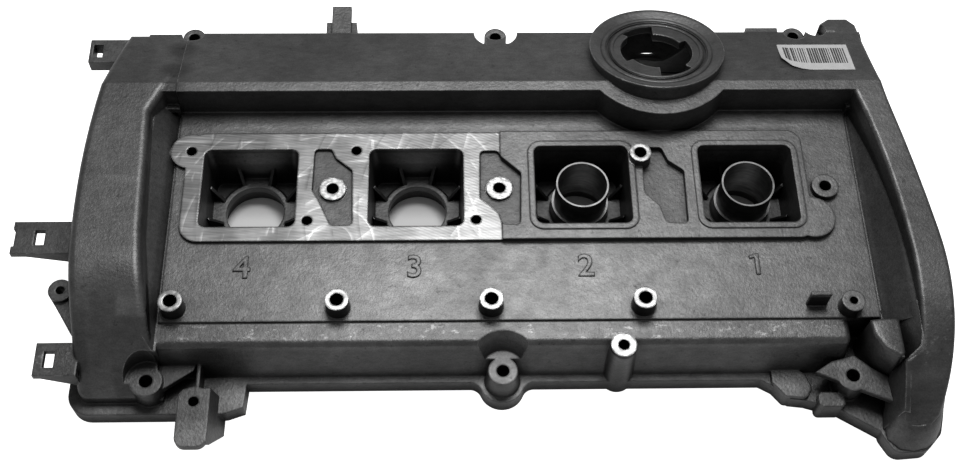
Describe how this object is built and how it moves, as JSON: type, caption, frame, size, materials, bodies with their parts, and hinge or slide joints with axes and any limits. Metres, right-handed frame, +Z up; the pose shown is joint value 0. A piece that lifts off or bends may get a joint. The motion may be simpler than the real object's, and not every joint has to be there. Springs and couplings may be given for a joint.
{
  "type": "engine valve cover",
  "caption": "Die-cast engine valve cover with square plug wells in a central pad, a bayonet oil filler neck, deep end housings and side brackets.",
  "frame": {"origin": "on the gasket plane, on the line of the plug wells, midway between the two inner wells", "axes": "+X along the row of wells towards the deep end housing, +Y towards the oil filler side, +Z up, away from the engine"},
  "size_m": [0.4839, 0.259, 0.0666],
  "materials": {
    "cast_alloy": "grey as-cast surface, dull, with milled and machined faces brighter",
    "tube_steel": "dull thin-walled tube with a bright edge"
  },
  "bodies": {
    "root": {"valve_cover_casting": "cast_alloy", "plug_tube_1": "tube_steel", "plug_tube_2": "tube_steel"}
  },
  "joints": []
}
